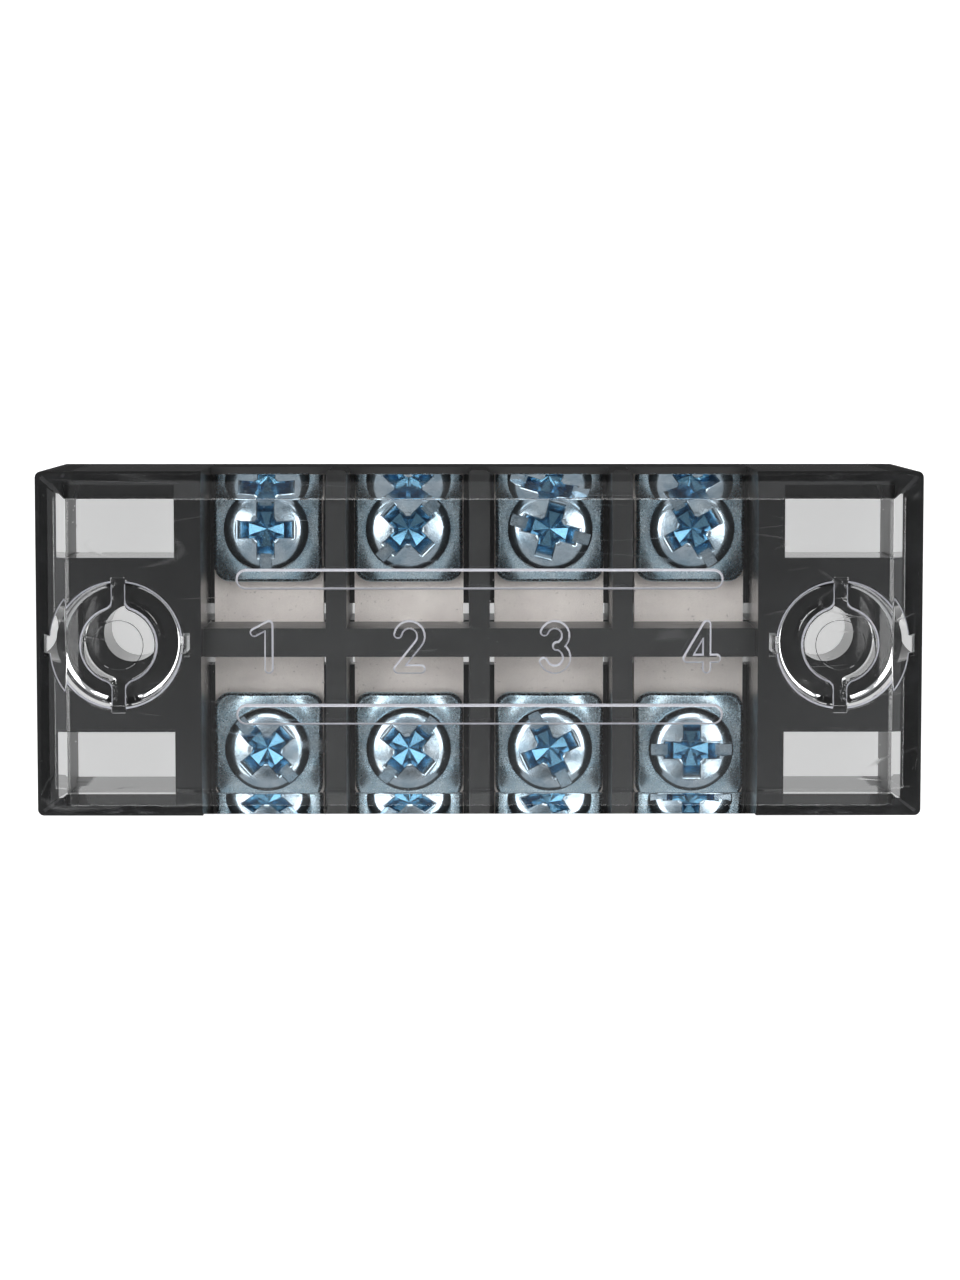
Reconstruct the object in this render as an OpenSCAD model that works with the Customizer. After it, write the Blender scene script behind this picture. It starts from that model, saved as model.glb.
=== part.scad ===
// Barrier terminal strip with four poles and a clear push-fit cover.
// Two rows of clamp screws share one metal plate per pole. X runs along the row of
// poles, Y across it and Z up. The origin is at the middle of the underside.

/* [Housing] */
// Overall length of the housing
strip_l = 55.4; // [54:0.1:60]
// Overall width of the housing
strip_w = 21.6; // [21.2:0.1:26]
// Height of the end blocks, which carry the cover
block_h = 14.4; // [13.8:0.1:18]
// Radius of the upright outer corners
corner_r = 0.4; // [0.1:0.05:1]
// Height of the floor that the plates lie on
floor_top = 5.8; // [5.4:0.1:7]
// Thickness of that floor, over the pockets of the underside
floor_t = 2.0; // [1.4:0.1:2.4]
// Thickness of the rim round the pockets of the underside, at the long sides
rim_t = 1.3; // [0.8:0.1:2]

/* [Barriers] */
// Distance from one pole to the next
pole_pitch = 9.0; // [8.8:0.1:9.3]
// Thickness of the walls between the poles
barrier_t = 1.3; // [1:0.1:1.6]
// Thickness of the wall along the middle, between the two rows of screws
spine_t = 1.8; // [1.2:0.1:2.6]
// Gap between the tops of the walls and the cover
barrier_gap = 0.2; // [0.1:0.05:1]
// Radius of the upright corners at the ends of the walls
barrier_r = 0.3; // [0.1:0.05:0.45]

/* [End blocks] */
// Wall between the last cell and the corner wells
end_wall_t = 1.65; // [1.2:0.05:2.2]
// Length of the rectangular well in each corner
well_l = 6.85; // [5:0.05:7.4]
// Width of that well
well_w = 4.15; // [4.1:0.05:4.4]
// Wall between that well and the long side
well_wall_t = 1.2; // [0.9:0.05:1.3]
// How much wider the well is at its foot, on its outer sides
well_step = 0.4; // [0.2:0.05:0.6]
// Height of that wider foot
well_step_h = 3.4; // [2:0.1:4]

/* [Mounting] */
// Distance between the two mounting holes
mount_pitch = 45.0; // [44.6:0.1:45.4]
// Diameter of the mounting holes
mount_d = 3.7; // [3.2:0.1:4.8]
// Thickness of the foot under the head of the mounting screw
foot_t = 5.0; // [2:0.1:6]
// Diameter of the round well over each mounting hole
round_well_d = 8.2; // [7.8:0.1:8.4]

/* [Plates] */
// Thickness of the plates
plate_t = 1.2; // [1:0.1:1.5]
// Groove between a plate and the walls beside it
plate_side_gap = 0.35; // [0.2:0.05:0.5]
// Ledge between the end of a plate and the long side of the housing
plate_inset = 0.5; // [0.3:0.1:1]
// Radius of the corners of the plates
plate_r = 0.4; // [0.1:0.05:0.8]
// Gap over a plate where it passes under the middle wall
tunnel_gap = 0.1; // [0.05:0.05:0.3]
// Distance of each row of screws from the long side of the housing
row_edge = 3.8; // [3.6:0.05:4]
// Outer diameter of the drawn collar that holds the thread, under the plate
collar_d = 4.2; // [3.8:0.1:4.6]
// Height of that collar
collar_h = 0.8; // [0.4:0.1:1.2]
// Clearance round that collar in the floor
collar_gap = 0.3; // [0.1:0.05:0.5]
// Width of the slots through the floor beside each plate, at the middle wall
slot_w = 0.45; // [0.3:0.05:0.6]
// Length of those slots
slot_l = 1.1; // [0.6:0.1:1.6]

/* [Clamps] */
// Gap between a wire clamp and the walls beside it
clamp_side_gap = 0.4; // [0.2:0.05:0.6]
// Overall height of a wire clamp
clamp_h = 1.8; // [1.4:0.1:2]
// Thickness of its metal
clamp_t = 0.9; // [0.6:0.05:1.1]
// Radius of its corners
clamp_r = 1.0; // [0.4:0.1:1.6]
// Radius of the flat seat for the head of the screw
clamp_seat_r = 2.6; // [2:0.1:2.9]
// Clearance of the screw in the clamp
clamp_bore_gap = 0.23; // [0.15:0.01:0.5]

/* [Screws] */
// Outer diameter of the thread
thread_d = 2.94; // [2.8:0.01:3.1]
// Running clearance of the thread in the plate
thread_gap = 0.06; // [0.02:0.01:0.1]
// Length under the head
screw_l = 6.0; // [5.4:0.1:6.8]
// Diameter of the head
head_d = 5.4; // [5:0.1:6]
// Height of the head
head_h = 2.3; // [2:0.1:2.4]
// Radius of the shoulder of the head
head_r = 0.8; // [0.4:0.1:1.2]
// Rise of the crown of the head over its shoulder
crown_h = 0.25; // [0.1:0.05:0.4]
// Width of the driver slot across the head
drive_slot_w = 0.75; // [0.6:0.05:1]
// Depth of the driver slot
drive_slot_h = 0.6; // [0.4:0.05:1.1]
// Width of each wing of the cross recess
cross_w = 1.05; // [0.7:0.05:1.2]
// Span of the cross recess at the top of the head
cross_d = 3.6; // [2.6:0.1:3.8]
// Depth of the cross recess
cross_h = 1.5; // [1:0.1:1.7]
// Directions of the driver slots in the upper row, from pole to pole
slot_turns_a = [90, 45, -15, -60];
// Directions of the driver slots in the lower row, from pole to pole
slot_turns_b = [-48, 50, -65, 0];

/* [Cover] */
// Thickness of the cover
cover_t = 2.0; // [1.8:0.1:2.6]
// Width of the sloped edge along the long sides of the cover
bevel_w = 1.5; // [0.8:0.1:2]
// Width of the sloped edge at the ends of the cover
bevel_l = 1.8; // [0.8:0.1:2]
// Drop of the sloped edges
bevel_h = 1.6; // [0.8:0.1:1.7]
// Set-back of the cover from the ends of the housing
cover_inset_l = 0.25; // [0.1:0.05:0.6]
// Set-back of the cover from the long sides of the housing
cover_inset_w = 0.15; // [0.05:0.05:0.5]
// Radius of the upright corners of the cover
cover_r = 0.5; // [0.2:0.05:0.9]
// Length of the two raised bars on the cover
bar_l = 30.2; // [20:0.1:34]
// Width of the raised bars
bar_w = 1.3; // [0.8:0.1:1.8]
// Height of the raised bars
bar_h = 0.35; // [0.2:0.05:0.6]
// Distance of the raised bars from the middle
bar_y = 4.2; // [3.6:0.1:5]

/* [Split bosses] */
// Clearance of a boss of the cover in its round well
boss_gap = 0.2; // [0.1:0.05:0.3]
// Length of the bosses under the cover
boss_h = 4.0; // [3:0.1:5]
// Diameter of the bore of a boss
boss_bore_d = 4.9; // [4:0.1:5.4]
// Height of the lead-in cone at the foot of a boss
boss_lead_h = 0.6; // [0.3:0.1:1]
// How much narrower the foot of the lead-in is, on the radius
boss_lead = 0.35; // [0.1:0.05:0.5]
// Width of the slots that split a boss
split_w = 0.92; // [0.7:0.02:1.2]
// How far those slots run out past the boss
split_over = 0.35; // [0.1:0.05:0.5]
// How far those slots run up into the cover
split_up = 0.4; // [0.2:0.1:0.8]
// Width of the ribs on a boss
rib_w = 1.1; // [0.8:0.1:1.4]
// How far a rib stands out of the boss
rib_out = 0.35; // [0.3:0.05:0.45]

/* [Hidden] */
poles = 4;
$fn = 48;
past = 0.5;  // how far a cutter runs past the face that it cuts

cell_w = pole_pitch - barrier_t;
row_y = strip_w / 2 - row_edge;  // from the middle to each row of screws
cells_half = (poles * pole_pitch - barrier_t) / 2;  // from the middle to the end blocks
barrier_top = block_h - barrier_gap;
block_l = strip_l / 2 - cells_half;
well_x = cells_half + end_wall_t;
well_y = strip_w / 2 - well_wall_t - well_w;
mount_x = mount_pitch / 2;
pocket_h = floor_top - floor_t;

plate_w = cell_w - 2 * plate_side_gap;
plate_l = strip_w - 2 * plate_inset;
plate_top = floor_top + plate_t;
tap_d = thread_d + 2 * thread_gap;
collar_hole_d = collar_d + 2 * collar_gap;

clamp_w = cell_w - 2 * clamp_side_gap;
clamp_bore_d = thread_d + 2 * clamp_bore_gap;
clamp_reach = clamp_w / sqrt(2) - (sqrt(2) - 1) * clamp_r;  // from the screw to a corner
clamp_drop = clamp_h - clamp_t;  // height of the underside of the seat
clamp_run = clamp_reach - clamp_seat_r;
dome_r = (clamp_run * clamp_run + clamp_drop * clamp_drop) / (2 * clamp_drop);

head_z = plate_top + clamp_h;
head_top = head_z + head_h;

cover_l = strip_l - 2 * cover_inset_l;
cover_w = strip_w - 2 * cover_inset_w;
cover_top = block_h + cover_t;
boss_d = round_well_d - 2 * boss_gap;
boss_foot = block_h - boss_h;
split_l = boss_d + 2 * split_over;
rib_reach = boss_d / 2 + rib_out;
key_reach = rib_reach + boss_gap;
key_w = rib_w + 2 * boss_gap;
key_foot = boss_foot + boss_lead_h - boss_gap;

function pole_x(pole) = (pole - (poles + 1) / 2) * pole_pitch;

// Rectangle of l by w with round corners, standing h high.
module rounded_block(l, w, h, r) {
  linear_extrude(h) {
    square([l - 2 * r, w], center = true);
    square([l, w - 2 * r], center = true);
    for (x = [-1, 1], y = [-1, 1])
      translate([x * (l / 2 - r), y * (w / 2 - r)]) circle(r);
  }
}

// Copies what stands at one end of the strip to the other end.
module both_ends() {
  children();
  mirror([1, 0, 0]) children();
}

// Copies what stands at one long side of the strip to the other side.
module both_sides() {
  children();
  mirror([0, 1, 0]) children();
}

// One wall of the barriers, up to the common height.
module barrier_wall(l, w) {
  translate([0, 0, pocket_h]) rounded_block(l, w, barrier_top - pocket_h, barrier_r);
}

// The solid that the wells and pockets are cut from.
module housing_solid() {
  rounded_block(strip_l, strip_w, floor_top, corner_r);
  both_ends() intersection() {
    rounded_block(strip_l, strip_w, block_h, corner_r);
    translate([cells_half, -strip_w / 2, 0]) cube([block_l, strip_w, block_h]);
  }
  barrier_wall(2 * cells_half + barrier_r, spine_t);
  for (pole = [1 : poles - 1])
    translate([pole_x(pole) + pole_pitch / 2, 0, 0]) barrier_wall(barrier_t, strip_w);
}

// Rectangular well through one corner, with its wider foot.
module corner_well() {
  translate([well_x, well_y, -past]) cube([well_l, well_w, block_h + 2 * past]);
  translate([well_x, well_y, -past])
    cube([well_l + well_step, well_w + well_step, well_step_h + past]);
}

// Mounting hole, with the round well over it and the keyways for the ribs of the boss.
module mounting_well() {
  translate([mount_x, 0, -past]) cylinder(d = mount_d, h = foot_t + 2 * past);
  translate([mount_x, 0, foot_t]) {
    cylinder(d = round_well_d, h = block_h - foot_t + past);
    translate([-key_reach, -key_w / 2, key_foot - foot_t])
      cube([2 * key_reach, key_w, block_h - key_foot + past]);
  }
}

// Pocket in the underside below one terminal.
module under_pocket() {
  translate([-cell_w / 2, spine_t / 2, -past])
    cube([cell_w, (strip_w - spine_t) / 2 - rim_t, pocket_h + past]);
}

// What one terminal leaves open: its pocket, the hole for the collar and two floor slots.
module terminal_cut() {
  under_pocket();
  translate([0, row_y, 0]) cylinder(d = collar_hole_d, h = floor_top + past);
  for (side = [-1, 1])
    translate([side * (cell_w - slot_w) / 2 - slot_w / 2, spine_t / 2, 0])
      cube([slot_w, slot_l, floor_top + past]);
}

module base() {
  color("#2f2f31") difference() {
    housing_solid();
    both_ends() {
      both_sides() corner_well();
      mounting_well();
    }
    for (pole = [1 : poles]) translate([pole_x(pole), 0, 0]) {
      both_sides() terminal_cut();
      translate([-cell_w / 2, -spine_t / 2 - past, floor_top])
        cube([cell_w, spine_t + 2 * past, plate_t + tunnel_gap]);
    }
  }
}

module plate(pole) {
  color("#a89e98") translate([pole_x(pole), 0, 0]) difference() {
    union() {
      translate([0, 0, floor_top]) rounded_block(plate_w, plate_l, plate_t, plate_r);
      both_sides() translate([0, row_y, floor_top - collar_h])
        cylinder(d = collar_d, h = collar_h + plate_t / 2);
    }
    both_sides() translate([0, row_y, floor_top - collar_h - past])
      cylinder(d = tap_d, h = collar_h + plate_t + 2 * past);
  }
}

// Half section of the domed clamp: flat out to the seat, then an arc down to the corners.
module clamp_section() {
  bend = [clamp_seat_r, clamp_drop - dome_r];
  wide = clamp_reach + clamp_t + past;
  intersection() {
    square([wide, clamp_h]);
    difference() {
      union() {
        square([clamp_seat_r, clamp_h]);
        translate(bend) circle(dome_r + clamp_t, $fn = 96);
      }
      square([clamp_seat_r, clamp_drop]);
      translate(bend) circle(dome_r, $fn = 96);
    }
  }
}

// Wire clamp of one terminal: a domed square washer that stands on its four corners.
module clamp(pole, side) {
  color("#8fa9b8") translate([pole_x(pole), side * row_y, plate_top]) difference() {
    intersection() {
      rotate_extrude() clamp_section();
      rounded_block(clamp_w, clamp_w, clamp_h, clamp_r);
    }
    translate([0, 0, -past]) cylinder(d = clamp_bore_d, h = clamp_h + 2 * past);
  }
}

// Half section of the pan head: upright side, round shoulder, then a low crown.
module head_section() {
  steps = 6;
  shoulder = head_h - crown_h - head_r;
  flat_r = head_d / 2 - head_r;
  polygon(concat(
    [[0, 0], [head_d / 2, 0]],
    [for (i = [0 : steps])
      let (turn = 90 * i / steps)
      [flat_r + head_r * cos(turn), shoulder + head_r * sin(turn)]],
    [for (i = [1 : steps])
      let (out = 1 - i / steps)
      [flat_r * out, head_h - crown_h * out * out]]
  ));
}

// Cross recess: two wings that a cone narrows towards the point.
module cross_recess() {
  intersection() {
    for (turn = [0, 90])
      rotate(turn) translate([-cross_d / 2, -cross_w / 2, head_h - cross_h])
        cube([cross_d, cross_w, cross_h + past]);
    translate([0, 0, head_h - cross_h])
      cylinder(r1 = cross_w / 4, r2 = cross_d / 2, h = cross_h);
  }
}

module screw(pole, side, turn) {
  color("#7fa3b8") translate([pole_x(pole), side * row_y, head_z]) rotate(turn) difference() {
    union() {
      rotate_extrude() head_section();
      translate([0, 0, -screw_l]) cylinder(d = thread_d, h = screw_l + head_h / 4);
    }
    cross_recess();
    translate([-head_d, -drive_slot_w / 2, head_h - drive_slot_h])
      cube([2 * head_d, drive_slot_w, drive_slot_h + past]);
  }
}

// Section of the cover across one direction: an upright edge, then the slope.
module bevel_section(w, slope) {
  edge = cover_t - bevel_h;
  polygon([
    [-w / 2, 0], [w / 2, 0], [w / 2, edge],
    [w / 2 - slope, cover_t], [slope - w / 2, cover_t], [-w / 2, edge]
  ]);
}

// Cover plate with its sloped edge, before the bosses are added.
module cover_plate() {
  translate([0, 0, block_h]) intersection() {
    rounded_block(cover_l, cover_w, cover_t, cover_r);
    rotate([90, 0, 0])
      linear_extrude(2 * cover_w, center = true) bevel_section(cover_l, bevel_l);
    rotate([90, 0, 90])
      linear_extrude(2 * cover_l, center = true) bevel_section(cover_w, bevel_w);
  }
}

// Raised bar with round ends on the top of the cover.
module cover_bar() {
  translate([0, bar_y, cover_top - bar_h / 2]) linear_extrude(bar_h * 1.5) {
    square([bar_l - bar_w, bar_w], center = true);
    for (end = [-1, 1]) translate([end * (bar_l - bar_w) / 2, 0]) circle(d = bar_w);
  }
}

// Outside of one boss under the cover: lead-in cone, barrel and two ribs.
module boss_outside() {
  barrel_h = boss_h - boss_lead_h;
  translate([mount_x, 0, boss_foot]) {
    cylinder(d1 = boss_d - 2 * boss_lead, d2 = boss_d, h = boss_lead_h);
    translate([0, 0, boss_lead_h]) {
      cylinder(d = boss_d, h = barrel_h + cover_t / 4);
      translate([-rib_reach, -rib_w / 2, 0]) cube([2 * rib_reach, rib_w, barrel_h]);
    }
  }
}

// What is cut from one boss: its bore, and the slots that let its halves give.
module boss_inside() {
  translate([mount_x, 0, boss_foot - past]) {
    cylinder(d = boss_bore_d, h = boss_h + past);
    translate([-split_w / 2, -split_l / 2, 0])
      cube([split_w, split_l, boss_h + split_up + past]);
  }
}

module cover() {
  color("#c8d0d4", 0.35) difference() {
    union() {
      cover_plate();
      both_sides() cover_bar();
      both_ends() boss_outside();
    }
    both_ends() boss_inside();
  }
}

base();
cover();
for (pole = [1 : poles]) {
  plate(pole);
  clamp(pole, 1);
  clamp(pole, -1);
  screw(pole, 1, slot_turns_a[pole - 1]);
  screw(pole, -1, slot_turns_b[pole - 1]);
}
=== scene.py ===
"""Looks of a barrier terminal strip: finishes, detailed screws, clamps and cover, light and camera."""

import math

import bpy
import numpy as np
from mathutils import Matrix, Vector


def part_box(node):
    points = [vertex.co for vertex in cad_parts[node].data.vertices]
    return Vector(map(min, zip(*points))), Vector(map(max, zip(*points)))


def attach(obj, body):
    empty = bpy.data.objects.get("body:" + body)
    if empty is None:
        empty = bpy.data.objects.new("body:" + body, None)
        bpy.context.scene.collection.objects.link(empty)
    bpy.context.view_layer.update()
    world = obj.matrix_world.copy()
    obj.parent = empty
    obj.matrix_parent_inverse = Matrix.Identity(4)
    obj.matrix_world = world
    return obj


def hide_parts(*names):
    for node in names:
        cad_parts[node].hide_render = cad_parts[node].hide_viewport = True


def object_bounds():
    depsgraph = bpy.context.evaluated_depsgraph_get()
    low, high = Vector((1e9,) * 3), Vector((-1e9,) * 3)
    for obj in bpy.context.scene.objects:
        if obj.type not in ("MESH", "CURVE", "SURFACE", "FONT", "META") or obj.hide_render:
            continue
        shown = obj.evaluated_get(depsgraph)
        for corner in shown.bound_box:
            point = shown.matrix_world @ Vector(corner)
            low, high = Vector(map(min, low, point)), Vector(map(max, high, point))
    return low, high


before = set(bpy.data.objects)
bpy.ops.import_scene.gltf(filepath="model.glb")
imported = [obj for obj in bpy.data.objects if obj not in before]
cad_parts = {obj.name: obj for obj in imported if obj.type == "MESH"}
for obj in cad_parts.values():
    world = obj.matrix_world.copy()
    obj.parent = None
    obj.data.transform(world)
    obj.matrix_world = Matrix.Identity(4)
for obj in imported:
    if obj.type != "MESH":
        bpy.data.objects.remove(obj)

MM = 0.001
CAD_BOX = [[float(v) for v in corner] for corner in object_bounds()]

# The terminals: their names, their spacing and the length of their screws' threads.
POLES = (1, 2, 3, 4)
ROWS = ("a", "b")
PITCH, ROW_Y = 9 * MM, 7.0 * MM
THREAD_LENGTH = 6.0 * MM

# The split bosses, with BOSS_TOP also the top of the housing, and the cover's flat top.
MOUNT_X, BOSS_R = 22.5 * MM, 3.9 * MM
BOSS_BORE, SPLIT_HALF = 2.45 * MM, 0.46 * MM
BOSS_LOW = float(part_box("cover")[0][2])
BOSS_TOP = float(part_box("base")[1][2])
COVER_TOP = BOSS_TOP + 2.0 * MM

# The housing's cells and the real height of their walls, and the open foot of a corner well.
CELLS_HALF, WALL_TOP = 17.35 * MM, 12.6 * MM
WELL_INNER, WELL_OUTER = 19.0 * MM, 26.65 * MM
WELL_NEAR, WELL_FAR, WELL_FOOT_TOP = 4.70 * MM, 10.0 * MM, 8.3 * MM

# Name, place and width in metres, and power in watts, of each lamp.
LAMPS = (
    ("lamp_left", (-0.36, 0.12, 0.52), 0.40, 1.75),
    ("lamp_right", (0.36, 0.12, 0.52), 0.40, 1.75),
    ("lamp_upper", (0.0, 0.42, 0.44), 0.30, 1.0),
)

# Directions of the driver slots, as in the solids, in degrees.
SLOT_TURNS = {
    "a1": 90, "a2": 45, "a3": -15, "a4": -60,
    "b1": -48, "b2": 50, "b3": -65, "b4": 0,
}


def size_of(node):
    """Middle and extent of a CAD node's box, in metres."""
    low, high = (np.array(corner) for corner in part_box(node))
    return (low + high) / 2, high - low


# ---------------------------------------------------------------- surfaces

def add_mesh(name, points, faces):
    """Mesh object at the origin from an (n, 3) array of points and a list of faces."""
    mesh = bpy.data.meshes.new(name)
    mesh.from_pydata(points.tolist(), [], [list(map(int, face)) for face in faces])
    mesh.validate()
    obj = bpy.data.objects.new(name, mesh)
    bpy.context.scene.collection.objects.link(obj)
    return obj


def points_of(mesh):
    """A mesh's points, as an (n, 3) array."""
    place = np.empty(len(mesh.vertices) * 3)
    mesh.vertices.foreach_get("co", place)
    return place.reshape(-1, 3)


def smooth(obj, degrees):
    """Shades a piece smooth, with edges sharper than the angle kept crisp. Normals are weighted by
    area, so that flat faces stay flat and only the narrow faces between them turn."""
    mesh = obj.data
    mesh.polygons.foreach_set("use_smooth", np.ones(len(mesh.polygons), dtype=bool))
    mesh.set_sharp_from_angle(angle=math.radians(degrees))
    weigh = obj.modifiers.new("weigh", "WEIGHTED_NORMAL")
    weigh.mode, weigh.keep_sharp, weigh.weight = "FACE_AREA", True, 50
    return applied(obj)


def grid_quads(rows, columns, wrap_rows=False):
    """Faces of a grid of rows by columns that closes round its columns, and its rows too if asked."""
    last = rows if wrap_rows else rows - 1
    row, column = np.meshgrid(np.arange(last), np.arange(columns), indexing="ij")
    above, beside = (row + 1) % rows, (column + 1) % columns
    corners = (row * columns + column, row * columns + beside,
               above * columns + beside, above * columns + column)
    return np.stack(corners, axis=-1).reshape(-1, 4)


def loft(name, rings):
    """Closed skin over rings, an (m, n, 3) array that runs upwards, with a flat cap at each end."""
    count, around = rings.shape[:2]
    faces = grid_quads(count, around).tolist()
    faces.append(list(range(around))[::-1])
    faces.append(list(range((count - 1) * around, count * around)))
    return add_mesh(name, rings.reshape(-1, 3), faces)


def revolve(name, profile, around=72):
    """Turns an (m, 2) profile of radius and height about Z, going up, with a flat cap at each end."""
    turn = np.linspace(0, 2 * np.pi, around, endpoint=False)
    radius, height = profile[:, :1], profile[:, 1:]
    rings = np.stack([radius * np.cos(turn), radius * np.sin(turn), height + 0 * turn], axis=-1)
    return loft(name, rings)


def arc(centre, radius, start, end, steps):
    """Points on a circle's arc from one angle to another, in degrees."""
    turn = np.radians(np.linspace(start, end, steps))
    return np.stack([centre[0] + radius * np.cos(turn), centre[1] + radius * np.sin(turn)], axis=-1)


def rounded_ring(half_l, half_w, radius, steps=6):
    """Outline of a rectangle with round corners: four quarter arcs, one after another."""
    corners = ((1, 1, 0), (-1, 1, 90), (-1, -1, 180), (1, -1, 270))
    return np.concatenate([
        arc((sx * (half_l - radius), sy * (half_w - radius)), radius, start, start + 90, steps)
        for sx, sy, start in corners
    ])


def bevel_rings(half_l, half_w, radius, levels, least=0.06 * MM, steps=6):
    """Rings of one rounded rectangle, drawn in along X and along Y at a height, as (in x, in y, z) says."""
    rings = []
    for in_x, in_y, z in levels:
        corner = max(radius - max(in_x, in_y), least)
        ring = rounded_ring(half_l - in_x, half_w - in_y, corner, steps)
        rings.append(np.column_stack([ring, np.full(len(ring), z)]))
    return np.array(rings)


def stacked_rings(half_l, half_w, radius, levels, least=0.06 * MM, steps=6):
    """Rings of one rounded rectangle, each drawn in by an inset at its height, as (inset, z) says."""
    return bevel_rings(half_l, half_w, radius, [(inset, inset, z) for inset, z in levels], least, steps)


def joined(name, objects):
    """One mesh object from several that don't touch."""
    points, faces, start = [], [], 0
    for obj in objects:
        mesh = obj.data
        points.append(points_of(mesh))
        faces += [[start + v for v in face.vertices] for face in mesh.polygons]
        start += len(mesh.vertices)
        bpy.data.objects.remove(obj)
    return add_mesh(name, np.concatenate(points), faces)


def shifted(obj, x=0.0, y=0.0, z=0.0):
    """Moves a piece's mesh, and leaves its object at the origin."""
    mesh = obj.data
    place = points_of(mesh) + (x, y, z)
    mesh.vertices.foreach_set("co", place.ravel())
    mesh.update()
    return obj


def outward(obj):
    """Turns a closed mesh's faces outwards if its signed volume says that they point inwards."""
    mesh = obj.data
    mesh.calc_loop_triangles()
    corners = np.empty(len(mesh.loop_triangles) * 3, dtype=np.int64)
    mesh.loop_triangles.foreach_get("vertices", corners)
    a, b, c = points_of(mesh)[corners.reshape(-1, 3)].transpose(1, 0, 2)
    if np.einsum("ij,ij->", a, np.cross(b, c)) < 0:
        mesh.flip_normals()
    return obj


def applied(obj):
    """Works a piece's modifiers into its mesh."""
    graph = bpy.context.evaluated_depsgraph_get()
    mesh = bpy.data.meshes.new_from_object(obj.evaluated_get(graph))
    obj.modifiers.clear()
    obj.data = mesh
    return obj


def combine(obj, other, operation):
    """Applies an exact union or difference of another closed mesh, which is then dropped."""
    cut = obj.modifiers.new("combine", "BOOLEAN")
    cut.operation, cut.object, cut.solver = operation, other, "EXACT"
    applied(obj)
    bpy.data.objects.remove(other)
    return obj


# --------------------------------------------------------------- materials

def add_node(tree, kind, inputs=None, **settings):
    """New node in a tree, with its settings; inputs are plain values or sockets."""
    node = tree.nodes.new(kind)
    for key, value in settings.items():
        setattr(node, key, value)
    for key, value in (inputs or {}).items():
        if isinstance(value, bpy.types.NodeSocket):
            tree.links.new(value, node.inputs[key])
        else:
            node.inputs[key].default_value = value
    return node


class Finish:
    """A node material with short ways to add nodes and join them."""

    def __init__(self, name):
        self.material = bpy.data.materials.new(name)
        self.material.use_nodes = True
        self.tree = self.material.node_tree
        self.tree.nodes.clear()
        self.output = self.add("ShaderNodeOutputMaterial")
        self.place = self.add("ShaderNodeTexCoord").outputs["Object"]

    def add(self, kind, inputs=None, **settings):
        """New node of this material."""
        return add_node(self.tree, kind, inputs, **settings)

    def axes(self):
        """X, Y and Z of the place on the object."""
        return self.add("ShaderNodeSeparateXYZ", {"Vector": self.place}).outputs

    def noise(self, size, detail=3.0, rough=0.55, stretch=(1, 1, 1), turn=0.0):
        """Noise whose blotches are about size metres wide, stretched along axes and turned about Z."""
        spread = self.add("ShaderNodeMapping", {
            "Vector": self.place, "Rotation": (0, 0, turn), "Scale": stretch})
        return self.add("ShaderNodeTexNoise", {
            "Vector": spread.outputs[0], "Scale": 1 / size, "Detail": detail,
            "Roughness": rough}).outputs[0]

    def ramp(self, value, low, high, to_low=0.0, to_high=1.0):
        """Maps a value from one range to another, held at its ends."""
        return self.add("ShaderNodeMapRange", {
            "Value": value, "From Min": low, "From Max": high,
            "To Min": to_low, "To Max": to_high}).outputs[0]

    def maths(self, operation, first, second=0.0):
        """One maths node."""
        return self.add("ShaderNodeMath", {0: first, 1: second}, operation=operation).outputs[0]

    def blend(self, value, first, second):
        """Colour between two, by a value; the first may come from another node."""
        first = first if isinstance(first, bpy.types.NodeSocket) else (*first, 1)
        inputs = {0: value, 6: first, 7: (*second, 1)}
        return self.add("ShaderNodeMix", inputs, data_type="RGBA").outputs[2]

    def hairlines(self, size, turn, width=0.012, cover=0.62):
        """Sparse fine scratches: the level lines of a stretched noise, kept only in some patches."""
        wave = self.noise(size, 1.0, 0.4, (0.12, 1, 1), turn)
        line = self.maths("SUBTRACT", wave, 0.5)
        near = self.ramp(self.maths("ABSOLUTE", line), 0.0, width, 1.0, 0.0)
        patch = self.ramp(self.noise(size * 1.7, 1.0, 0.5, (1, 1, 1), turn + 1.0), cover, cover + 0.04)
        return self.maths("MULTIPLY", near, patch)

    def bump(self, height, distance, strength=1.0, normal=None):
        """Bump from a height of 0 to 1 that stands for a distance in metres."""
        inputs = {"Height": height, "Distance": distance, "Strength": strength}
        if normal is not None:
            inputs["Normal"] = normal
        return self.add("ShaderNodeBump", inputs).outputs[0]

    def surface(self, inputs):
        """Principled shader, joined to the output."""
        shader = self.add("ShaderNodeBsdfPrincipled", inputs)
        self.tree.links.new(shader.outputs[0], self.output.inputs["Surface"])
        return shader


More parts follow.
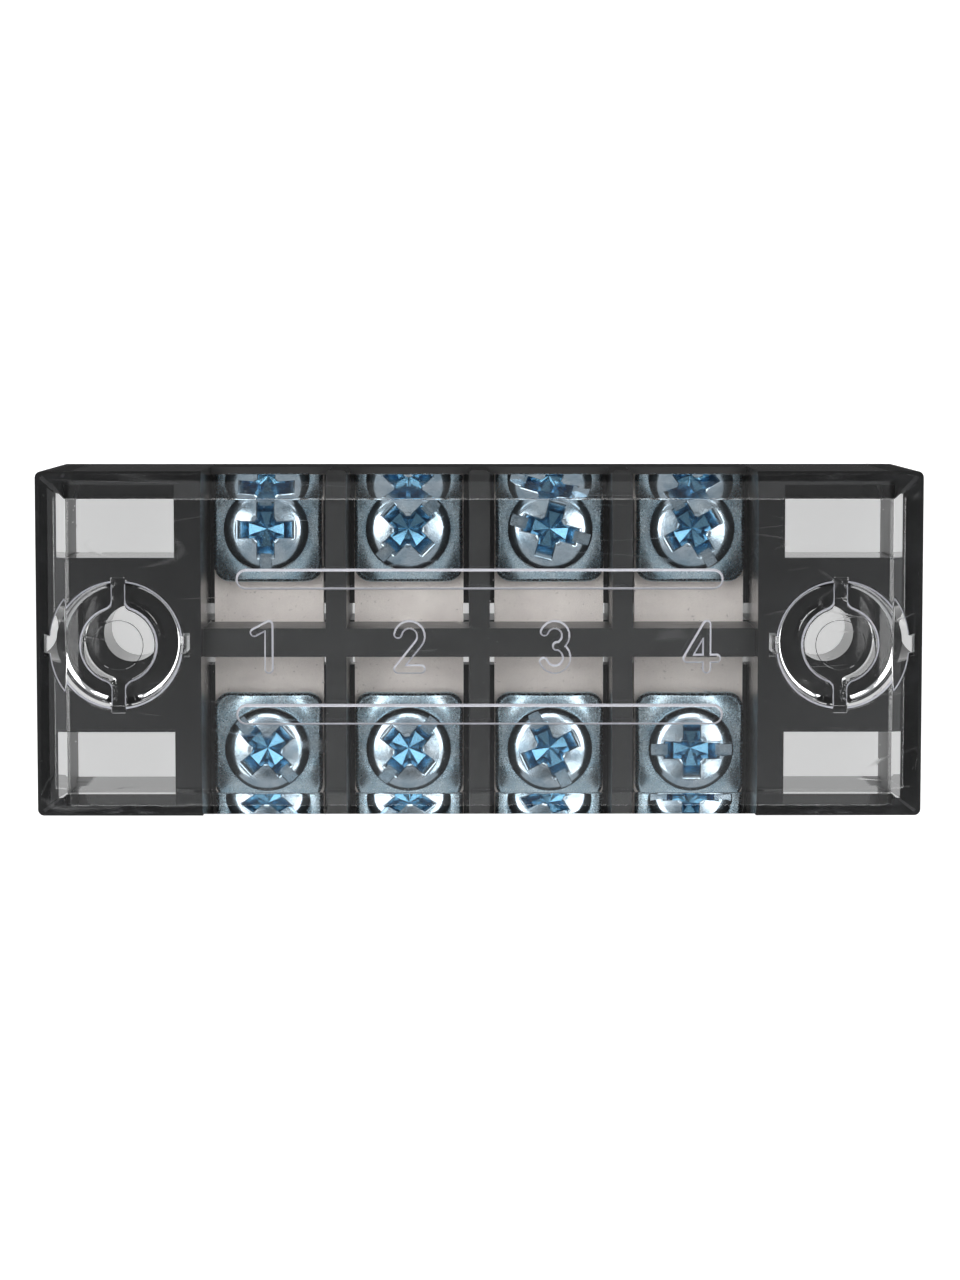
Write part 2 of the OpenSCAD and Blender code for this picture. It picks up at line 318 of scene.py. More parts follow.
def base_finish():
    """Black thermoplastic: satin between the poles and on the far walls of the corner wells, polished
    elsewhere in the end blocks, with a faint flow pattern and a few hairlines."""
    f = Finish("black_moulding")
    flow = f.noise(2.5 * MM, 4.0)
    scratch = f.maths("MAXIMUM", f.hairlines(3.2 * MM, 0.4), f.hairlines(2.4 * MM, 2.1))
    x, _, z = f.axes()
    out = f.maths("ABSOLUTE", x)
    near_face = f.ramp(out, 25.4 * MM, 25.7 * MM)
    far_face = f.ramp(out, 26.9 * MM, 27.0 * MM, 1.0, 0.0)
    below_rim = f.ramp(z, 14.2 * MM, 14.3 * MM, 1.0, 0.0)
    far_wall = f.maths("MULTIPLY", f.maths("MULTIPLY", near_face, far_face), below_rim)
    end_block = f.ramp(out, CELLS_HALF - 0.05 * MM, CELLS_HALF + 0.05 * MM)
    polished = f.maths("SUBTRACT", end_block, far_wall)
    level = f.ramp(polished, 0.0, 1.0, 0.36, 0.08)
    cloud = f.ramp(flow, 0.3, 0.7, -0.02, 0.03)
    rough = f.maths("ADD", f.maths("ADD", level, cloud), f.maths("MULTIPLY", scratch, 0.15))
    f.surface({
        "Base Color": f.blend(flow, (0.009, 0.009, 0.009), (0.014, 0.014, 0.014)),
        "Roughness": rough,
        "IOR": 1.50,
        "Normal": f.bump(scratch, 0.003 * MM, 0.4),
    })
    return f.material


def plated_sheet():
    """Tin-plated brass sheet: satin, warm grey, with a fine rolled grain and small dark pits."""
    f = Finish("plated_sheet")
    grain = f.noise(0.10 * MM, 4.0, 0.65)
    cloud = f.noise(1.6 * MM, 3.0)
    streak = f.noise(0.16 * MM, 3.0, 0.6, (1, 0.2, 1))
    pits = f.ramp(f.noise(0.22 * MM, 2.0, 0.6), 0.66, 0.72)
    base = f.blend(f.ramp(f.maths("ADD", grain, cloud), 0.7, 1.3),
                   (0.80, 0.73, 0.69), (0.95, 0.89, 0.84))
    colour = f.blend(f.maths("MULTIPLY", pits, 0.45), base, (0.30, 0.26, 0.23))
    height = f.maths("ADD", f.maths("MULTIPLY", grain, 0.6), f.maths("MULTIPLY", streak, 0.4))
    f.surface({
        "Base Color": colour,
        "Metallic": 0.7,
        "Roughness": f.ramp(cloud, 0.3, 0.7, 0.48, 0.60),
        "Normal": f.bump(height, 0.006 * MM, 0.7),
    })
    return f.material


def blue_zinc(name, dark, light, rough, recess=None):
    """Zinc plate with a blue passivate: bright, with a cloudy colour and a fine pressed texture. A
    darker colour for the recess is painted shade in the cross of each screw, below the floor of the slot:
    the distance to the nearest screw's axis comes from the spacing of the terminals."""
    f = Finish(name)
    cloud = f.noise(1.1 * MM, 3.0)
    fine = f.noise(0.14 * MM, 3.0, 0.6)
    colour = f.blend(f.ramp(cloud, 0.32, 0.68), dark, light)
    if recess is not None:
        top = float(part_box("screw_a1")[1][2])
        x, y, z = f.axes()
        past = f.maths("FLOORED_MODULO", f.maths("ADD", x, 2 * PITCH), PITCH)
        along = f.maths("SUBTRACT", past, PITCH / 2)
        across = f.maths("SUBTRACT", f.maths("ABSOLUTE", y), ROW_Y)
        square = f.maths("ADD", f.maths("MULTIPLY", along, along), f.maths("MULTIPLY", across, across))
        reach = f.maths("SQRT", square)
        inside = f.ramp(reach, 1.70 * MM, 1.85 * MM, 1.0, 0.0)
        deep = f.ramp(z, top - 0.95 * MM, top - 0.45 * MM, 1.0, 0.0)
        # painted shade: the recess colour darkens the cross below the floor of the slot
        colour = f.blend(f.maths("MULTIPLY", inside, deep), colour, recess)
    f.surface({
        "Base Color": colour,
        "Metallic": 1.0,
        "Roughness": f.ramp(fine, 0.3, 0.7, rough, rough + 0.08),
        "Normal": f.bump(f.maths("ADD", fine, cloud), 0.006 * MM, 0.5),
    })
    return f.material


def frosted_finish():
    """Frosted polycarbonate: the drawn walls of the raised bars and numerals, which catch the light."""
    f = Finish("frosted_moulding")
    grain = f.noise(0.2 * MM, 3.0)
    f.surface({
        "Base Color": f.blend(grain, (0.40, 0.40, 0.44), (0.66, 0.66, 0.72)),
        "Roughness": 0.35,
        "IOR": 1.58,
        "Normal": f.bump(grain, 0.004 * MM, 0.6),
    })
    return f.material


def frost_walls(obj, finish):
    """Gives a second finish to the steep faces above the cover's flat top, and to the steep half of the
    quarter rounds at the roots of the bosses."""
    mesh = obj.data
    mesh.materials.append(finish)
    normal = np.empty(len(mesh.polygons) * 3)
    mesh.polygons.foreach_get("normal", normal)
    middle = np.empty(len(mesh.polygons) * 3)
    mesh.polygons.foreach_get("center", middle)
    level = np.abs(normal.reshape(-1, 3)[:, 2])
    x, y, z = middle.reshape(-1, 3).T
    raised = (level < 0.96) & (z > COVER_TOP + 0.004 * MM)
    shell_r, reach = 3.2 * MM, 1.2 * MM
    near = np.abs(np.hypot(np.abs(x) - MOUNT_X, y) - shell_r) < reach
    at_root = (z > BOSS_TOP - 0.2 * MM) & (z < BOSS_TOP + 0.02 * MM)
    root = (level > 0.25) & (level < 0.85) & near & at_root
    mesh.polygons.foreach_set("material_index", (raised | root).astype(np.int32))
    mesh.update()


def cover_finish():
    """Clear polycarbonate: bends light, with handling scratches and dust. The ends of the ribs are
    frosted. Lamps shine through it."""
    f = Finish("clear_moulding")
    scratch = f.maths("MAXIMUM", f.hairlines(5.0 * MM, 0.15, 0.006, 0.58),
                      f.hairlines(3.5 * MM, 1.9, 0.008, 0.6))
    specks = f.ramp(f.noise(0.30 * MM, 1.0, 0.5), 0.74, 0.78)
    marks = f.maths("MAXIMUM", scratch, f.maths("MULTIPLY", specks, 0.6))
    x, y, z = f.axes()
    beyond = f.maths("SUBTRACT", f.maths("ABSOLUTE", x), MOUNT_X)
    outer = f.maths("GREATER_THAN", f.maths("ABSOLUTE", beyond), BOSS_R + 0.02 * MM)
    narrow = f.maths("LESS_THAN", f.maths("ABSOLUTE", y), 0.62 * MM)
    low = f.maths("LESS_THAN", z, COVER_TOP - 2.02 * MM)
    rib = f.maths("MULTIPLY", f.maths("MULTIPLY", outer, narrow), low)
    rough = f.maths("ADD", f.maths("MULTIPLY", marks, 0.25), f.maths("MULTIPLY", rib, 0.6))
    glass = f.add("ShaderNodeBsdfPrincipled", {
        "Base Color": (0.985, 0.99, 0.99, 1),
        "Roughness": rough,
        "IOR": 1.58,
        "Transmission Weight": 1.0,
        "Normal": f.bump(marks, 0.004 * MM, 0.4),
    })
    through = f.add("ShaderNodeBsdfTransparent", {"Color": (0.93, 0.94, 0.95, 1)})
    ray = f.add("ShaderNodeLightPath").outputs["Is Shadow Ray"]
    mix = f.add("ShaderNodeMixShader", {0: ray, 1: glass.outputs[0], 2: through.outputs[0]})
    f.tree.links.new(mix.outputs[0], f.output.inputs["Surface"])
    return f.material


def put(obj, material, body, slot, *nodes):
    """Gives a new piece its finish and body, and hides the CAD nodes it stands for. The slot is not used.
    """
    obj.data.materials.clear()
    obj.data.materials.append(material)
    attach(obj, body)
    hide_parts(*nodes)


def paint(node, material):
    """Gives a CAD node's own mesh a finish."""
    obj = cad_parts[node]
    obj.data.materials.clear()
    obj.data.materials.append(material)


# -------------------------------------------------------------------- base

def box_tool(low, high):
    """Closed box between two corners, as a cutting tool."""
    ring = np.array([(low[0], low[1]), (high[0], low[1]), (high[0], high[1]), (low[0], high[1])])
    rings = np.array([np.column_stack([ring, np.full(4, z)]) for z in (low[2], high[2])])
    return outward(loft("box", rings))


def welded_copy(name, node):
    """New mesh with a CAD node's own form: its triangles over points that are merged where equal."""
    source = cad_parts[node]
    mesh = source.data
    turn = np.array(source.matrix_world)
    place = points_of(mesh) @ turn[:3, :3].T + turn[:3, 3]
    corners = np.empty(len(mesh.loops), dtype=np.int64)
    mesh.loops.foreach_get("vertex_index", corners)
    step = 0.0005 * MM
    _, first, merged = np.unique(
        np.round(place / step), axis=0, return_index=True, return_inverse=True)
    triangles = merged.reshape(-1)[corners].reshape(-1, 3)
    whole = (triangles != np.roll(triangles, 1, axis=1)).all(axis=1)
    return add_mesh(name, place[first], triangles[whole].tolist())


def make_base(finish):
    """Housing in its own form, with the inner walls lowered to their real height and each corner well
    opened out at its foot, towards the end, the side and the mounting hole."""
    base = welded_copy("base_look", "base")
    beside, above = 12 * MM, 16 * MM
    tools = [box_tool((-CELLS_HALF, -beside, WALL_TOP), (CELLS_HALF, beside, above))]
    for end in (1, -1):
        for side in (1, -1):
            x0, x1 = sorted((end * WELL_INNER, end * WELL_OUTER))
            y0, y1 = sorted((side * WELL_NEAR, side * WELL_FAR))
            tools.append(box_tool((x0, y0, -1 * MM), (x1, y1, WELL_FOOT_TOP)))
    for tool in tools:
        combine(base, tool, "DIFFERENCE")
    smooth(base, 30)
    put(base, finish, "housing", "housing", "base")


# ------------------------------------------------------------------ screws

def head_profile(radius, height):
    """Outside of a pan head: upright side, round shoulder and a low parabolic crown."""
    shoulder_r, crown, soft = 0.80 * MM, 0.22 * MM, 0.08 * MM
    side_top = height - crown - shoulder_r
    shoulder = arc((radius - shoulder_r, side_top), shoulder_r, 0, 84, 8)
    out = np.linspace(1, 0, 9)[1:-1]
    reach = radius - shoulder_r
    top = np.column_stack([reach * out, height - crown * out ** 2])
    under = arc((radius - soft, soft), soft, -90, 0, 4)
    return np.concatenate([under, shoulder, top, [[0.02 * MM, height]]])


def thread_rings(outer, root, length, pitch, around, neck):
    """Helical thread: each ring's radius is a rounded tooth of the height less the turn's rise."""
    rings_per_turn, taper, tip_in = 9, 0.6 * MM, 0.18 * MM
    z = np.arange(-length, -neck, pitch / rings_per_turn)
    turn = np.linspace(0, 2 * np.pi, around, endpoint=False)
    phase = (z[:, None] / pitch - turn / (2 * np.pi)) % 1
    tooth = np.clip(1.25 - 2.5 * np.abs(phase - 0.5), 0, 1)
    lead = np.clip((z[:, None] + length) / taper, 0, 1)
    radius = root + (outer - root) * tooth * lead - tip_in * (1 - lead)
    return np.stack([radius * np.cos(turn), radius * np.sin(turn), z[:, None] + 0 * turn], axis=-1)


def head_height(r, radius, height):
    """Height of the head's outside at a distance from its axis, read off its profile, less the first
    six points: the soft lower edge and the foot of the shoulder."""
    profile = head_profile(radius, height)[6:][::-1]
    return np.interp(r, profile[:, 0], profile[:, 1])


def cross_outline(half, reach, chamfer, steps=5):
    """Outline of a four-winged cross: each wing's two sides run out to its end, and the inner
    corners between wings are cut off by a chamfer. One wing's points are turned four times."""
    start = half + chamfer
    along = np.linspace(start, reach, steps)
    right = np.column_stack([along, np.full(steps, -half)])
    left = np.column_stack([along[::-1], np.full(steps, half)])
    wing = np.concatenate([right, left])
    turns = []
    for quarter in range(4):
        c, s = ((1, 0), (0, 1), (-1, 0), (0, -1))[quarter]
        turns.append(wing @ np.array([[c, s], [-s, c]]))
    return np.concatenate(turns)


def cross_cutter(radius, height):
    """Closed tool for the cross recess. Each ring is the cross outline at a depth below the head's
    own surface, so its rim has an even chamfer. The wings narrow and shorten as they go down, and
    the floor falls to a point at the middle."""
    rim, point_depth = 0.05 * MM, 1.60 * MM
    # Depth, half width, reach and chamfer in millimetres, and how far the rim flares, in metres.
    stages = [(-0.40, 0.53, 1.80, 0.20, rim * 9), (0.0, 0.53, 1.80, 0.20, rim), (0.05, 0.53, 1.78, 0.20, 0),
              (0.70, 0.45, 1.45, 0.18, 0), (1.25, 0.37, 1.10, 0.16, 0)]
    rings = []
    for depth, half, reach, chamfer, flare in stages:
        ring = cross_outline(half * MM + flare, reach * MM + flare, chamfer * MM)
        r = np.hypot(ring[:, 0], ring[:, 1])
        z = head_height(r, radius, height) if depth < 0.1 else height
        rings.append(np.column_stack([ring, z - depth * MM + 0 * r]))
    rings = np.array(rings)[::-1]
    around = rings.shape[1]
    faces = grid_quads(rings.shape[0], around).tolist()
    points = rings.reshape(-1, 3)
    tip = len(points)
    points = np.concatenate([points, [[0, 0, height - point_depth]]])
    faces += [[(v + 1) % around, v, tip] for v in range(around)]
    faces.append([(rings.shape[0] - 1) * around + v for v in range(around)])
    return outward(add_mesh("cross", points, faces))


def slot_cutter(radius, height):
    """Closed tool for the straight slot through the whole head: upright walls, a chamfered rim that
    follows the head's surface, and a flat floor."""
    half, rim, floor, beyond = 0.36 * MM, 0.045 * MM, height - 0.60 * MM, 0.3 * MM
    along = np.linspace(-radius - beyond, radius + beyond, 41)
    surface = head_height(np.abs(along), radius, height)
    low = np.maximum(surface - rim, floor + 0.05 * MM)
    rows = []
    for sign in (-1, 1):
        steps = ((half, np.full_like(along, floor)), (half, low), (half + rim, low + rim),
                 (half + 0.4 * MM, low + 0.4 * MM))
        steps = steps if sign > 0 else steps[::-1]
        for across, z in steps:
            rows.append(np.column_stack([along, np.full_like(along, sign * across), z]))
    return outward(loft("slot", np.array(rows).transpose(1, 0, 2)))


def make_screw_master(around=96):
    """One screw with its head's underside at z = 0 and its slot along X, as points and faces."""
    _, extent = size_of("screw_a1")
    thread_r, root_r, pitch, neck = 1.45 * MM, 1.22 * MM, 0.5 * MM, 0.25 * MM
    radius, height = extent[0] / 2, extent[2] - THREAD_LENGTH
    turn = np.linspace(0, 2 * np.pi, around, endpoint=False)
    thread = thread_rings(thread_r, root_r, THREAD_LENGTH, pitch, around, neck)
    profile = np.concatenate([[[1.3 * MM, -0.2 * MM], [1.3 * MM, -0.02 * MM]],
                              head_profile(radius, height)])
    head = np.stack([profile[:, :1] * np.cos(turn), profile[:, :1] * np.sin(turn),
                     profile[:, 1:] + 0 * turn], axis=-1)
    screw = outward(loft("screw_master", np.concatenate([thread, head])))
    combine(screw, cross_cutter(radius, height), "DIFFERENCE")
    combine(screw, slot_cutter(radius, height), "DIFFERENCE")
    points = points_of(screw.data)
    faces = [list(face.vertices) for face in screw.data.polygons]
    bpy.data.objects.remove(screw)
    return points, faces


def make_screws(finish):
    """Places the master screw at each terminal, with its own slot direction."""
    points, faces = make_screw_master()
    for row in ROWS:
        for pole in POLES:
            name = f"{row}{pole}"
            middle, extent = size_of("screw_" + name)
            head_z = middle[2] - extent[2] / 2 + THREAD_LENGTH
            turn = math.radians(SLOT_TURNS[name])
            spin = np.array([[math.cos(turn), math.sin(turn), 0],
                             [-math.sin(turn), math.cos(turn), 0], [0, 0, 1]])
            place = points @ spin + (middle[0], middle[1], head_z)
            obj = add_mesh(f"screw_{name}_look", place, faces)
            smooth(obj, 38)
            put(obj, finish, "screw_" + name, "screw", "screw_" + name)


# ------------------------------------------------------------------ clamps

def square_reach(turn, half, corner):
    """Distance from the middle to a square's edge with round corners, by direction."""
    fold = np.abs((turn + np.pi / 4) % (np.pi / 2) - np.pi / 4)
    flat = half / np.cos(fold)
    inner = half - corner
    along = inner * (np.cos(fold) + np.sin(fold))
    inside = np.maximum(along ** 2 - 2 * inner ** 2 + corner ** 2, 0)
    return np.where(half * np.tan(fold) > inner, along + np.sqrt(inside), flat)


def clamp_rings(half, height, around=144):
    """Domed square washer. Each ring is a step of a closed section: out along the underside, round
    the rolled outer edge, in over the domed top and down through the bore."""
    sheet, seat, bore, corner = 0.9 * MM, 2.6 * MM, 1.7 * MM, 1.0 * MM
    soft, lip = 0.26 * MM, 0.1 * MM
    turn = np.linspace(0, 2 * np.pi, around, endpoint=False)
    edge = square_reach(turn, half, corner)
    run = half * math.sqrt(2) - (math.sqrt(2) - 1) * corner - seat
    drop = height - sheet
    dome = (run ** 2 + drop ** 2) / (2 * drop)

    def fall(r, bend):
        """How far an arc of one radius has dropped at a distance past the seat."""
        past = np.clip(r - seat, 0, bend * 0.999)
        return bend - np.sqrt(bend ** 2 - past ** 2)

    rings = []
    for t in np.linspace(0, 1, 12):
        r = bore + lip + (edge - soft - bore - lip) * t
        rings.append((r, drop - fall(r, dome)))
    rim = edge - soft
    mid = (drop - fall(rim, dome) + height - fall(rim, dome + sheet)) / 2
    half_t = (height - fall(rim, dome + sheet) - drop + fall(rim, dome)) / 2
    for a in np.radians(np.linspace(-80, 80, 9)):
        rings.append((rim + soft * math.cos(a), mid + half_t * math.sin(a)))
    for t in np.linspace(1, 0, 16):
        r = bore + lip + (edge - soft - bore - lip) * t
        rings.append((r, height - fall(r, dome + sheet)))
    for a in np.radians(np.linspace(80, -80, 5)):
        rings.append((bore + lip * (1 - math.cos(a)) + 0 * edge,
                      drop + sheet / 2 + sheet / 2 * math.sin(a) + 0 * edge))
    return np.array([np.column_stack([r * np.cos(turn), r * np.sin(turn), np.maximum(z, 0)])
                     for r, z in rings])


def make_clamps(finish):
    """Places a domed clamp at each terminal."""
    for row in ROWS:
        for pole in POLES:
            name = f"clamp_{row}{pole}"
            middle, extent = size_of(name)
            rings = clamp_rings(extent[0] / 2, extent[2])
            rings = rings + (middle[0], middle[1], middle[2] - extent[2] / 2)
            faces = grid_quads(*rings.shape[:2], wrap_rows=True)
            obj = outward(add_mesh(name + "_look", rings.reshape(-1, 3), faces))
            smooth(obj, 40)
            put(obj, finish, name, "clamp", name)


# ------------------------------------------------------------------- cover

# Centre lines of the pole numerals, in millimetres about the middle of each numeral.
NUMERALS = {
    1: [np.array([(-0.60, 0.90), (0.30, 1.38), (0.30, -1.38)])],
    2: [np.concatenate([arc((0, 0.66), 0.72, 170, -38, 14), [(-0.72, -1.38), (0.72, -1.38)]])],
    3: [np.concatenate([arc((0, 0.70), 0.68, 160, -80, 14),
                        arc((0, -0.66), 0.74, 80, -160, 14)])],
    4: [np.array([(0.42, 1.38), (-0.80, -0.72), (1.02, -0.72)]), np.array([(0.42, 1.38), (0.42, -1.38)])],
}


def wall(distance, half, soft):
    """Smooth step across a groove's wall: 1 inside half, 0 outside, over a soft width."""
    t = np.clip((half - distance) / soft + 0.5, 0, 1)
    return t * t * (3 - 2 * t)


def stroke_distance(x, y, strokes):
    """Shortest distance from each point to a numeral's centre lines."""
    nearest = np.full(x.shape, np.inf)
    for line in strokes:
        for (ax, ay), (bx, by) in zip(line[:-1], line[1:]):
            dx, dy = bx - ax, by - ay
            t = np.clip(((x - ax) * dx + (y - ay) * dy) / (dx * dx + dy * dy), 0, 1)
            nearest = np.minimum(nearest, np.hypot(x - ax - t * dx, y - ay - t * dy))
    return nearest


def numeral_block(pole, centre_x):
    """Closed pad whose top is a numeral: full height on its strokes and sunk below the cover
    beside them, with sloped sides in between. The pad's floor lies inside the cover. It is laid
    out in millimetres about its middle."""
    rise, sink, below_sink, step = 0.30, 0.15, 0.3, 0.036
    reach_x, reach_y, half_stroke, slope = 1.5, 1.9, 0.27, 0.17
    xs = np.arange(-reach_x, reach_x + step, step)
    ys = np.arange(-reach_y, reach_y + step, step)
    x, y = np.meshgrid(xs, ys, indexing="ij")
    body = wall(stroke_distance(x, y, NUMERALS[pole]), half_stroke, slope)
    z = -sink + (rise + sink) * body
    rows, columns = x.shape
    above = np.stack([x, y, z], axis=-1).reshape(-1, 3)
    below = np.stack([x, y, np.full_like(x, -sink - below_sink)], axis=-1).reshape(-1, 3)
    row, column = np.meshgrid(np.arange(rows - 1), np.arange(columns - 1), indexing="ij")
    first = (row * columns + column).ravel()
    quads = np.stack([first, first + columns, first + columns + 1, first + 1], axis=-1)
    rim = np.concatenate([
        np.arange(rows) * columns,
        (rows - 1) * columns + np.arange(1, columns),
        np.arange(rows - 2, -1, -1) * columns + columns - 1,
        np.arange(columns - 2, 0, -1),
    ])
    following = np.roll(rim, -1)
    count = rows * columns
    sides = np.stack([rim + count, following + count, following, rim], axis=-1)
    faces = quads.tolist() + sides.tolist() + [(rim + count)[::-1].tolist()]
    points = np.concatenate([above, below]) * MM + (centre_x, 0, COVER_TOP)
    return outward(add_mesh("numeral", points, faces))


def shell_outline(outer, inner, gap, corner=0.55 * MM):
    """Outline of one half of a split boss: the outer arc, the wall of the split, a round corner, the
    inner arc and the same back again. The corner's middle lies a corner's radius from the split and
    from the bore, so that the arcs meet it smoothly."""
    mid_x, mid_y = gap + corner, math.sqrt((inner + corner) ** 2 - (gap + corner) ** 2)
    lean = math.degrees(math.atan2(mid_y, mid_x))
    tip = math.degrees(math.acos(gap / outer))
    wall_y = np.linspace(outer * math.sin(math.radians(tip)), mid_y, 4)[1:-1]
    right = np.column_stack([np.full(2, gap), wall_y])
    upper = np.concatenate([right, arc((mid_x, mid_y), corner, 180, 180 + lean, 9)])
    lower = upper[::-1] * (1, -1)
    return np.concatenate([arc((0, 0), outer, -tip, tip, 81), upper,
                           arc((0, 0), inner, lean, -lean, 57)[1:-1], lower])


def make_bosses():
    """The two split bosses below the cover: half shells with a lead-in cone at the foot, a quarter
    round where they meet the cover's underside, and ribs."""
    lead_h, lead, root = 0.6 * MM, 0.35 * MM, 0.24 * MM
    levels = [
        (BOSS_R - lead, BOSS_BORE, SPLIT_HALF, BOSS_LOW),
        (BOSS_R - 0.02 * MM, BOSS_BORE, SPLIT_HALF, BOSS_LOW + lead_h * 0.96),
        (BOSS_R, BOSS_BORE, SPLIT_HALF, BOSS_LOW + lead_h * 1.1),
    ]
    for turn in np.radians(np.linspace(0, 82, 8)):
        spread = root * (1 - math.cos(turn))
        levels.append((BOSS_R + spread, BOSS_BORE - spread, SPLIT_HALF - 0.4 * spread,
                       BOSS_TOP + 0.02 * MM - root * (1 - math.sin(turn))))
    levels.append((*levels[-1][:3], BOSS_TOP + 0.5 * MM))
    rings = []
    for outer, inner, half, z in levels:
        ring = shell_outline(outer, inner, half)
        rings.append(np.column_stack([ring, np.full(len(ring), z)]))
    rings = np.array(rings)
    soft = 0.1 * MM
    rib_levels = [(soft, BOSS_LOW + lead_h), (0, BOSS_LOW + lead_h + soft), (0, BOSS_TOP + 0.5 * MM)]
    pieces = []
    for end in (1, -1):
        for side in (1, -1):
            shell = outward(loft("shell", rings * (side, 1, 1)))
            rib = outward(loft("rib", stacked_rings(0.4 * MM, 0.55 * MM, 0.12 * MM, rib_levels)))
            combine(shell, shifted(rib, x=side * (BOSS_R - 0.05 * MM)), "UNION")
            pieces.append(shifted(shell, x=end * MOUNT_X))
    return pieces


def mark_tools():
    """Tools for the shallow marks in the cover's underside: a round pin mark in the middle of each
    boss, and the ends of the two cores that form the split."""
    mark_r, end_y = 1.565 * MM, 4.02 * MM
    mark = np.array([[mark_r, BOSS_TOP - 0.5 * MM], [mark_r, BOSS_TOP + 0.05 * MM],
                     [mark_r - 0.04 * MM, BOSS_TOP + 0.08 * MM]])
    ends = [(0, BOSS_TOP - 0.5 * MM), (0, BOSS_TOP + 0.12 * MM), (0.05 * MM, BOSS_TOP + 0.17 * MM)]
    tools = []
    for end in (1, -1):
        tools.append(shifted(outward(revolve("mark", mark, 96)), x=end * MOUNT_X))
        for side in (1, -1):
            core = outward(loft("core", stacked_rings(SPLIT_HALF, 0.24 * MM, 0.05 * MM, ends)))
            tools.append(shifted(core, x=end * MOUNT_X, y=side * end_y))
    return tools


def make_cover(finish, frost):
    """Clear cover: bevelled plate, raised bars and numerals, and a split boss below each end."""
    _, extent = size_of("cover")
    under = BOSS_TOP + 0.02 * MM
    half_l, half_w = extent[0] / 2, extent[1] / 2
    bevel_l, bevel_w, drop, soft = 1.8 * MM, 1.5 * MM, 1.6 * MM, 0.07 * MM
    edge = COVER_TOP - drop
    levels = [
        (soft * 0.6, soft * 0.6, under), (0, 0, under + soft * 0.6), (0, 0, edge - soft),
        (soft * 0.15, soft * 0.15, edge - soft * 0.3), (soft * 0.7, soft * 0.6, edge + soft * 0.6),
        (bevel_l - soft, bevel_w - soft, COVER_TOP - soft),
        (bevel_l - soft * 0.3, bevel_w - soft * 0.3, COVER_TOP - soft * 0.35),
        (bevel_l + soft * 0.5, bevel_w + soft * 0.5, COVER_TOP - soft * 0.05),
        (bevel_l + soft * 1.2, bevel_w + soft * 1.2, COVER_TOP),
    ]
    cover = outward(loft("cover_look", bevel_rings(half_l, half_w, 0.5 * MM, levels)))

    extras = make_bosses()
    bar_l, bar_w, bar_h, bar_y = 30.2 * MM, 1.3 * MM, 0.35 * MM, 4.2 * MM
    rise = [(0, COVER_TOP - 0.3 * MM), (0, COVER_TOP + 0.02 * MM), (0.06 * MM, COVER_TOP + bar_h * 0.6),
            (0.10 * MM, COVER_TOP + bar_h * 0.92), (0.15 * MM, COVER_TOP + bar_h)]
    for side in (1, -1):
        rings = stacked_rings(bar_l / 2, bar_w / 2, bar_w / 2 - 0.001 * MM, rise, steps=16)
        extras.append(shifted(outward(loft("bar", rings)), y=side * bar_y))
    for pole in POLES:
        plate_x = size_of(f"plate_{pole}")[0][0]
        extras.append(numeral_block(pole, plate_x + 0.15 * MM))
    combine(cover, joined("extras", extras), "UNION")
    combine(cover, joined("tools", mark_tools()), "DIFFERENCE")
    smooth(cover, 24)
    put(cover, finish, "cover", "cover", "cover")
    frost_walls(cover, frost)


# ------------------------------------------------------- light and camera

def make_floor():
    """Plain white floor that glows a little, so that it stays white and still takes a soft shadow.
    Polished walls mirror it only where the strip stands on it; round about, glossy rays see the floor dark,
    which is painted shade beside the strip."""
    half, below, glow_level, dark = 1.5, 0.02 * MM, 0.62, 0.05
    points = np.array([(-half, -half, 0), (half, -half, 0), (half, half, 0), (-half, half, 0)])
    floor = add_mesh("floor", points - (0, 0, below), [(0, 1, 2, 3)])
    f = Finish("white_floor")
    plain = f.add("ShaderNodeBsdfDiffuse", {"Color": (0.8, 0.8, 0.8, 1)})
    glow = f.add("ShaderNodeEmission", {"Color": (1, 1, 1, 1), "Strength": glow_level})
    lit = f.add("ShaderNodeAddShader", {0: plain.outputs[0], 1: glow.outputs[0]})
    # painted shade: a dark floor that only glossy rays see, outside the strip's footprint
    painted_shade_floor = f.add("ShaderNodeBsdfDiffuse", {"Color": (dark, dark, dark, 1)})
    x, y, _ = f.axes()
    along = f.maths("LESS_THAN", f.maths("ABSOLUTE", x), CAD_BOX[1][0])
    across = f.maths("LESS_THAN", f.maths("ABSOLUTE", y), CAD_BOX[1][1])
    beneath = f.maths("MULTIPLY", along, across)
    path = f.add("ShaderNodeLightPath")
    seen = f.maths("MAXIMUM", path.outputs["Is Camera Ray"], path.outputs["Is Transmission Ray"])
    mirrored = path.outputs["Is Glossy Ray"]
    seen = f.maths("MAXIMUM", seen, f.maths("MULTIPLY", mirrored, beneath))
    # mask of the painted shade: glossy rays that meet the floor outside the footprint
    beside = f.maths("MULTIPLY", mirrored, f.maths("SUBTRACT", 1.0, beneath))
    mix = f.add("ShaderNodeMixShader", {0: seen, 1: plain.outputs[0], 2: lit.outputs[0]})
    mix = f.add("ShaderNodeMixShader", {0: beside, 1: mix.outputs[0], 2: painted_shade_floor.outputs[0]})
    f.tree.links.new(mix.outputs[0], f.output.inputs["Surface"])
    floor.data.materials.append(f.material)


def make_lamp(name, place, size, power):
    """Square soft lamp that faces the object."""
    data = bpy.data.lights.new(name, "AREA")
    data.size, data.energy = size, power
    lamp = bpy.data.objects.new(name, data)
    bpy.context.scene.collection.objects.link(lamp)
    lamp.location = place
    lamp.rotation_euler = (Vector((0, 0, 0)) - Vector(place)).to_track_quat("-Z", "Y").to_euler()


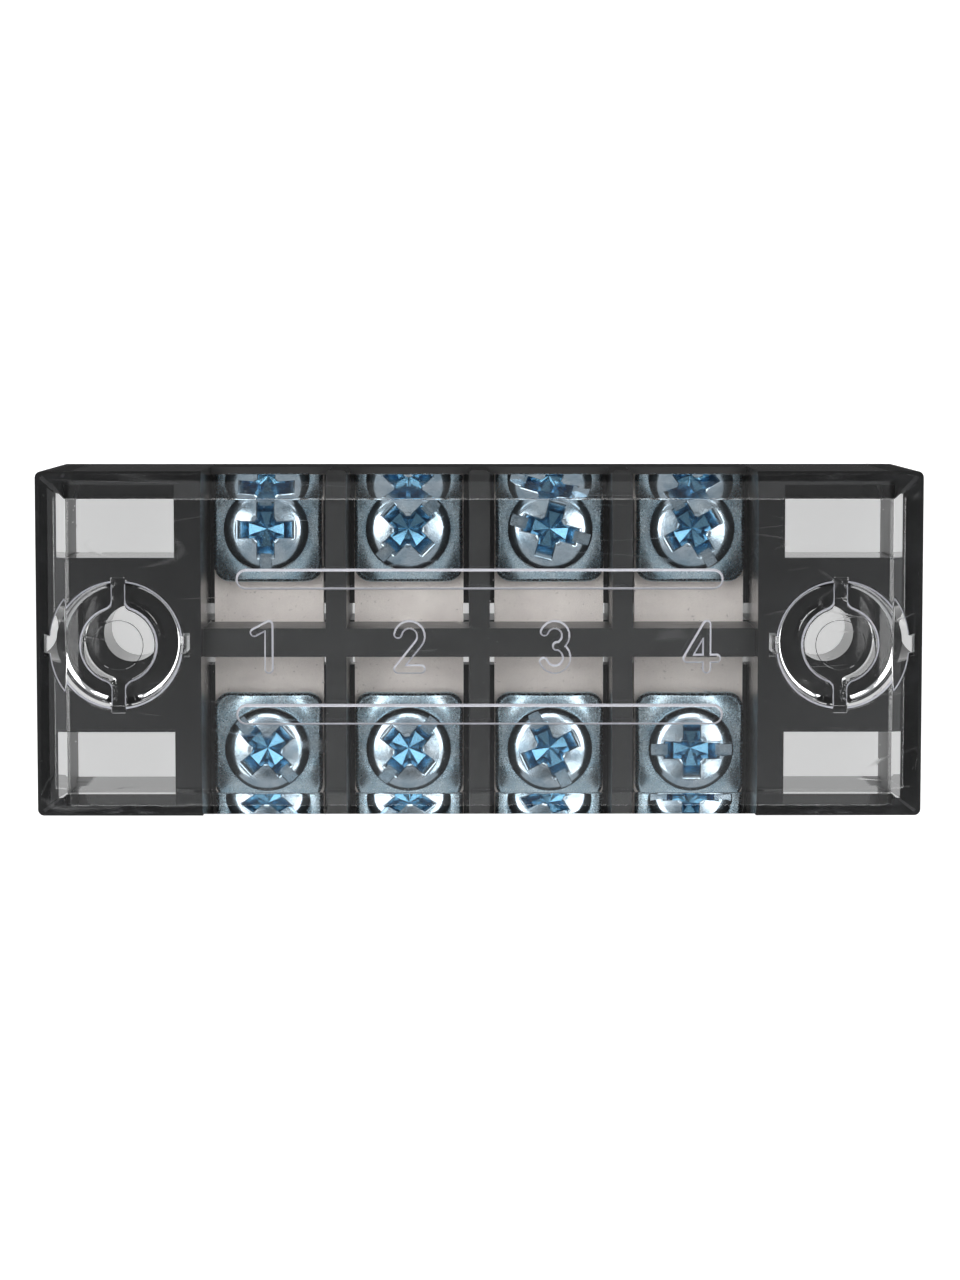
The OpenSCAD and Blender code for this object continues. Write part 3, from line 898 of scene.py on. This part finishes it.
def make_light():
    """Soft studio: a pale room that is dark nearly straight above, where the cover would mirror it,
    with a lamp high at each side and one past the upper edge of the strip. The dark patch is found
    by the angle between a ray and its middle. The camera itself sees plain white."""
    world = bpy.data.worlds.new("studio")
    bpy.context.scene.world = world
    world.use_nodes = True
    tree = world.node_tree
    tree.nodes.clear()

    lean, rim, core = (math.radians(degrees) for degrees in (4, 15, 5))
    pale, dark = 0.5, 0.03
    way = add_node(tree, "ShaderNodeTexCoord").outputs["Generated"]
    along = add_node(tree, "ShaderNodeVectorMath", {
        0: way, 1: (0, math.sin(lean), math.cos(lean))}, operation="DOT_PRODUCT")
    level = add_node(tree, "ShaderNodeMapRange", {
        "Value": along.outputs["Value"], "From Min": math.cos(rim), "From Max": math.cos(core),
        "To Min": pale, "To Max": dark})
    room = add_node(tree, "ShaderNodeBackground", {
        "Color": (0.97, 0.98, 1.0, 1), "Strength": level.outputs[0]})
    white = add_node(tree, "ShaderNodeBackground", {"Color": (1, 1, 1, 1), "Strength": 1.0})
    seen = add_node(tree, "ShaderNodeLightPath").outputs["Is Camera Ray"]
    mix = add_node(tree, "ShaderNodeMixShader", {0: seen, 1: room.outputs[0], 2: white.outputs[0]})
    add_node(tree, "ShaderNodeOutputWorld", {"Surface": mix.outputs[0]})
    for lamp in LAMPS:
        make_lamp(*lamp)


def make_camera():
    """Camera above the upper edge of the strip, tilted to its middle, with +Y upwards in the view."""
    top = CAD_BOX[1][2] - 0.35 * MM
    place = Vector((-1.1 * MM, 18.2 * MM, top + 214 * MM))
    target = Vector((0.02 * MM, 0.42 * MM, top))
    data = bpy.data.cameras.new("camera")
    camera = bpy.data.objects.new("camera", data)
    bpy.context.scene.collection.objects.link(camera)
    back = (place - target).normalized()
    right = Vector((0, 1, 0)).cross(back).normalized()
    turn = Matrix((right, back.cross(right), back)).transposed()
    camera.matrix_world = Matrix.Translation(place) @ turn.to_4x4()
    data.lens = 97.5
    data.clip_start, data.clip_end = 0.01, 10
    bpy.context.scene.camera = camera


# --------------------------------------------------------------- assembly

make_base(base_finish())
sheet = plated_sheet()
for pole in POLES:
    paint(f"plate_{pole}", sheet)
make_clamps(blue_zinc("clamp_zinc", (0.44, 0.62, 0.73), (0.68, 0.82, 0.90), 0.22))
make_screws(blue_zinc("screw_zinc", (0.38, 0.51, 0.61), (0.62, 0.72, 0.79), 0.16, (0.12, 0.27, 0.39)))
make_cover(cover_finish(), frosted_finish())
make_floor()
make_light()
make_camera()
bpy.context.scene.view_settings.view_transform = "Standard"
